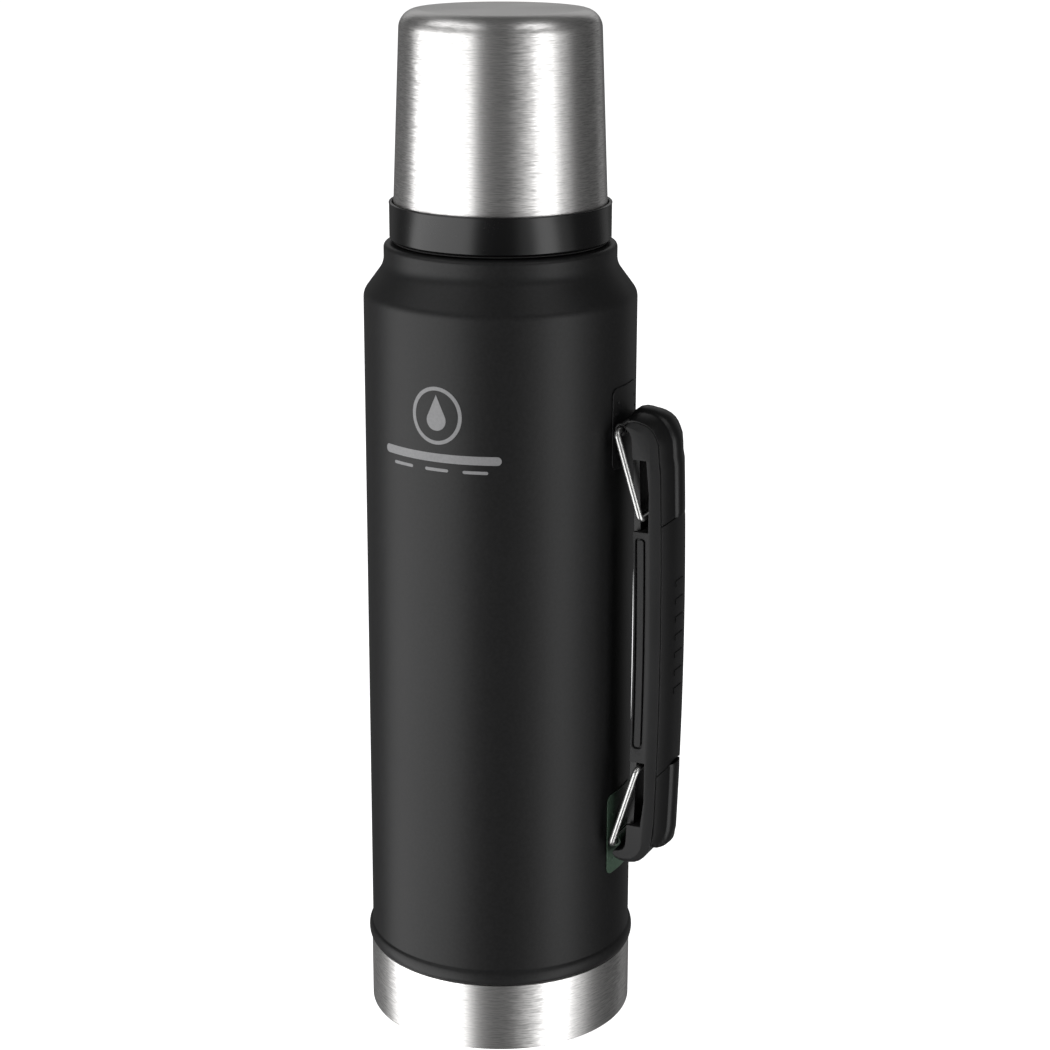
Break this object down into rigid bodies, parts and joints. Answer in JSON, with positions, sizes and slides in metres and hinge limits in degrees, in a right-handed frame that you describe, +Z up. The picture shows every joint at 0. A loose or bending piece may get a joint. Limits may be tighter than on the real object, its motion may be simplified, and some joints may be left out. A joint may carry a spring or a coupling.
{
  "type": "vacuum growler",
  "caption": "Insulated steel bottle with a screw-off drinking cup, an inner screw stopper and a narrow side grip that slides outwards on two wire bails.",
  "frame": {"origin": "centre of the base, on the bottle axis, at the level it stands on", "axes": "+Z up along the bottle axis, +X from the axis towards the grip, +Y to the left of the grip seen from outside"},
  "size_m": [0.1187, 0.0984, 0.366],
  "materials": {
    "jacket_paint": "fine-textured matt black powder coat",
    "bracket_paint": "matt black powder coat",
    "bracket_green": "satin dark green paint",
    "steel": "brushed round the axis",
    "wire": "polished",
    "band": "satin black",
    "plastic": "black",
    "grip_core": "charcoal, fine texture",
    "grip_soft": "soft black skin",
    "liner": "dark grey",
    "seal": "grey silicone",
    "foam": "rigid cream foam",
    "foil": "bright copper-coloured foil",
    "getter": "sintered grey"
  },
  "bodies": {
    "bottle": {"outer_shell": "jacket_paint", "base_cup": "steel", "jacket_floor": "steel", "evacuation_plug": "wire", "inner_flask": "steel", "radiation_foil": "foil", "getter_pill": "getter", "neck_collar": "plastic", "upper_bracket": "bracket_paint", "lower_bracket": "bracket_green"},
    "cup_seat": {"cup_gasket": "seal"},
    "cup": {"cup_shell": "steel", "cup_liner": "liner", "cup_band": "band", "cup_thread_ring": "plastic"},
    "stopper_seat": {"stopper_gasket": "seal"},
    "stopper": {"stopper_body": "plastic", "stopper_foam": "foam", "stopper_base_disc": "steel", "stopper_knob": "plastic"},
    "grip": {"grip_core": "grip_core", "grip_cover": "plastic", "grip_panel_front": "grip_core", "grip_panel_back": "grip_core", "grip_sleeve": "grip_soft", "grip_top_cap": "grip_soft", "grip_bottom_cap": "grip_soft", "grip_screw_lower": "wire", "grip_screw_upper": "wire"},
    "upper_wire": {"upper_bail": "wire"},
    "lower_wire": {"lower_bail": "wire"}
  },
  "joints": [
    {"name": "cup_lift", "type": "slide", "parent": "bottle", "child": "cup_seat", "axis": [0, 0, 1], "range_m": [0, 0.1]},
    {"name": "cup_turn", "type": "hinge", "parent": "cup_seat", "child": "cup", "pos_m": [0, 0, 0.29], "axis": [0, 0, 1], "continuous": true},
    {"name": "stopper_lift", "type": "slide", "parent": "bottle", "child": "stopper_seat", "axis": [0, 0, 1], "range_m": [0, 0.038]},
    {"name": "stopper_turn", "type": "hinge", "parent": "stopper_seat", "child": "stopper", "pos_m": [0, 0, 0.3], "axis": [0, 0, 1], "continuous": true},
    {"name": "grip_slide", "type": "slide", "parent": "bottle", "child": "grip", "axis": [1, 0, 0], "range_m": [0, 0.016]},
    {"name": "upper_bail_swing", "type": "hinge", "parent": "bottle", "child": "upper_wire", "pos_m": [0.0501, 0, 0.2265], "axis": [0, -1, 0], "range_deg": [0, 36.3]},
    {"name": "lower_bail_swing", "type": "hinge", "parent": "bottle", "child": "lower_wire", "pos_m": [0.0501, 0, 0.074], "axis": [0, 1, 0], "range_deg": [0, 36.3]}
  ],
  "couplings": [
    {"joint": "upper_bail_swing", "follows": "grip_slide", "rad_per_m": 39.558},
    {"joint": "lower_bail_swing", "follows": "grip_slide", "rad_per_m": 39.558}
  ]
}
